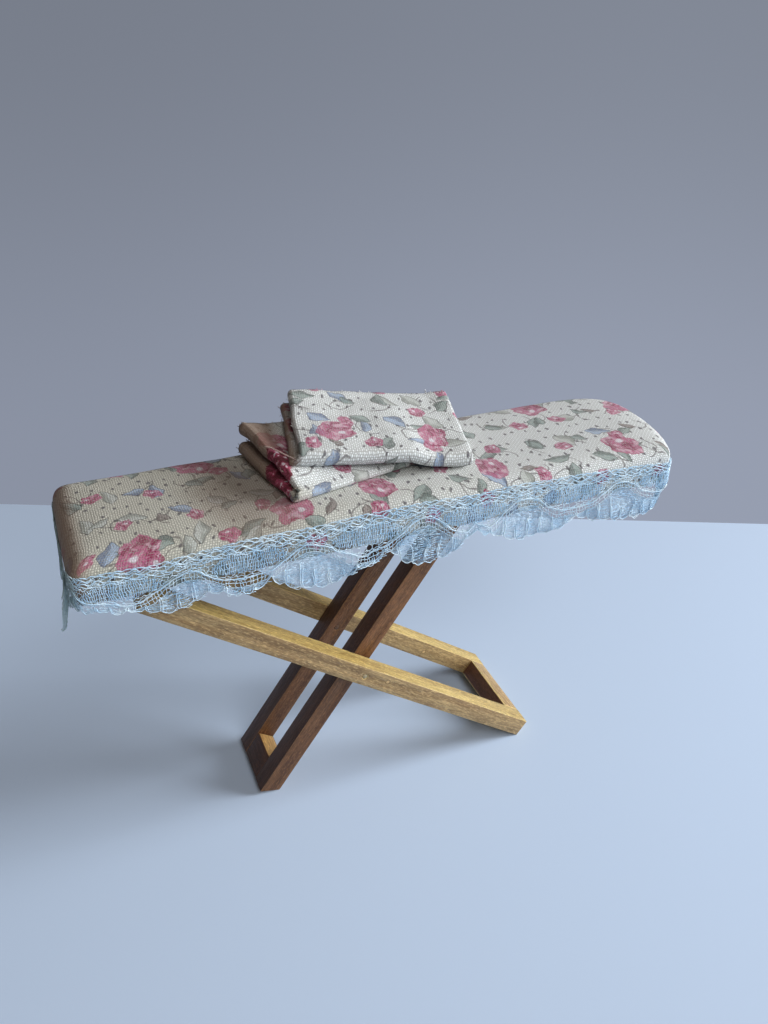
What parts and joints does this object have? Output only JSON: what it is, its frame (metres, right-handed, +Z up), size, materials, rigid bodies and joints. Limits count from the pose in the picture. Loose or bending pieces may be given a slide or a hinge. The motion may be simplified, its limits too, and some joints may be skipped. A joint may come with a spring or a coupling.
{
  "type": "dollhouse ironing board",
  "caption": "Miniature ironing board with a padded, printed cotton cover, blue lace edging, folded cloths on top and crossed wooden frames that fold flat.",
  "frame": {"origin": "middle of the whole object's box, on the surface it stands on", "axes": "+X towards the rounded nose, +Z up, -Y the front, where the picture looks from"},
  "size_m": [0.1159, 0.0314, 0.0761],
  "materials": {
    "raw_wood": "bare pale wood, hidden under the cover",
    "golden_wood": "golden-brown stained wood with a satin wax",
    "dark_wood": "darker brown stained wood with a satin wax",
    "wadding": "soft white wadding",
    "printed_cotton": "ecru cotton printed with small roses, leaves and dots",
    "blue_lace": "light blue machine lace",
    "pin_steel": "plain cut pins"
  },
  "bodies": {
    "board": {"board_core": "raw_wood", "board_padding": "wadding", "fabric_cover": "printed_cotton", "lace_trim": "blue_lace", "hinge_block": "raw_wood", "hinge_pin_front": "pin_steel", "hinge_pin_back": "pin_steel", "stop_cleat": "raw_wood"},
    "outer_frame": {"outer_leg_front": "golden_wood", "outer_leg_back": "golden_wood", "outer_foot_bar": "golden_wood", "pivot_pin_front": "pin_steel", "pivot_pin_back": "pin_steel"},
    "inner_frame": {"inner_leg_front": "dark_wood", "inner_leg_back": "dark_wood", "inner_top_bar": "dark_wood", "inner_foot_bar": "dark_wood"},
    "lower_cloth": {"folded_cloth_lower": "printed_cotton"},
    "upper_cloth": {"folded_cloth_upper": "printed_cotton"}
  },
  "joints": [
    {"name": "outer_frame_fold", "type": "hinge", "parent": "board", "child": "outer_frame", "pos_m": [-0.0443, 0, 0.054], "axis": [0, -1, 0], "range_deg": [0, 36]},
    {"name": "inner_frame_fold", "type": "hinge", "parent": "outer_frame", "child": "inner_frame", "pos_m": [-0.0083, 0, 0.02785], "axis": [0, 1, 0], "range_deg": [0, 91.4]},
    {"name": "lower_cloth_lift", "type": "slide", "parent": "board", "child": "lower_cloth", "axis": [0, 0, 1], "range_m": [0, 0.03]},
    {"name": "upper_cloth_lift", "type": "slide", "parent": "lower_cloth", "child": "upper_cloth", "axis": [0, 0, 1], "range_m": [0, 0.03]}
  ],
  "couplings": [
    {"joint": "inner_frame_fold", "follows": "outer_frame_fold", "ratio": 2.539}
  ]
}
